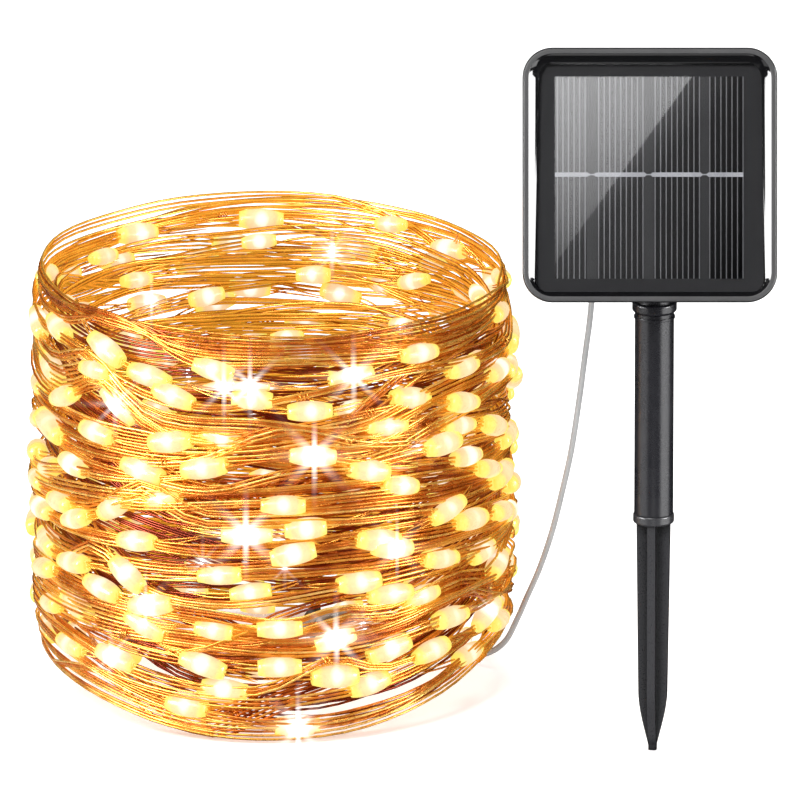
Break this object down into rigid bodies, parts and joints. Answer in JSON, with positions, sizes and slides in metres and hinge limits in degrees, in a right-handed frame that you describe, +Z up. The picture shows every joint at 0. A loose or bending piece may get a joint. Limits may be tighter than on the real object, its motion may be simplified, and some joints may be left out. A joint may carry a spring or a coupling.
{
  "type": "solar string lights",
  "caption": "Solar string lights: square panel head that tilts and swivels on a ground stake, with a thin lead to a thick open coil of copper wire with LED drops.",
  "frame": {"origin": "tip of the ground spike; the wound string and the spare lead rest on the plane z = 0 through it", "axes": "+Z up along the stake, -Y the way the panel faces, +X to the right seen from the front"},
  "size_m": [0.3047, 0.2378, 0.2963],
  "materials": {
    "frame_plastic": "gloss",
    "housing_plastic": "matte",
    "stake_plastic": "satin",
    "laminate_cover": "gloss",
    "silicon": "satin",
    "silver_print": "satin",
    "backsheet": "satin",
    "seal_rubber": "matte",
    "plated_steel": "satin",
    "cell_wrap": "satin",
    "board_green": "satin",
    "black_parts": "satin",
    "wire_red": "satin",
    "button_red": "satin",
    "button_grey": "satin",
    "lead_jacket": "satin",
    "wound_wire": "satin",
    "led_resin": "gloss"
  },
  "bodies": {
    "root": {"ground_spike": "stake_plastic", "stem_tube": "stake_plastic", "lead_cord": "lead_jacket", "lead_coil": "lead_jacket", "lead_end_run": "lead_jacket", "wire_splice": "seal_rubber", "wire_coil": "wound_wire", "led_drops": "led_resin"},
    "neck": {"neck": "stake_plastic", "lead_neck_tail": "lead_jacket"},
    "head": {"front_frame": "frame_plastic", "panel_cover": "laminate_cover", "solar_cells": "silicon", "cell_ribbons": "silver_print", "backing_board": "backsheet", "frame_gasket": "seal_rubber", "rear_housing": "housing_plastic", "housing_screws": "plated_steel", "battery_cell": "cell_wrap", "battery_holder": "black_parts", "battery_spring": "plated_steel", "battery_contact": "plated_steel", "battery_wires": "wire_red", "circuit_board": "board_green", "board_parts": "black_parts", "board_screws": "plated_steel", "panel_wires": "wire_red", "power_switch": "black_parts", "mode_switch": "black_parts", "lead_boot": "seal_rubber", "hinge_bolt": "plated_steel", "hinge_nut": "plated_steel"},
    "power_button": {"power_button": "button_red"},
    "mode_button": {"mode_button": "button_grey"}
  },
  "joints": [
    {"name": "neck_swivel", "type": "hinge", "parent": "root", "child": "neck", "pos_m": [0, 0, 0.19], "axis": [0, 0, 1], "range_deg": [-90, 90]},
    {"name": "head_tilt", "type": "hinge", "parent": "neck", "child": "head", "pos_m": [0, 0, 0.219], "axis": [-1, 0, 0], "range_deg": [-14, 69]},
    {"name": "power_press", "type": "slide", "parent": "head", "child": "power_button", "axis": [0, -0.9613, 0.2756], "range_m": [0, 0.001], "stiffness_N_per_m": 600, "springref_m": -0.001},
    {"name": "mode_press", "type": "slide", "parent": "head", "child": "mode_button", "axis": [0, -0.9613, 0.2756], "range_m": [0, 0.001], "stiffness_N_per_m": 600, "springref_m": -0.001}
  ]
}
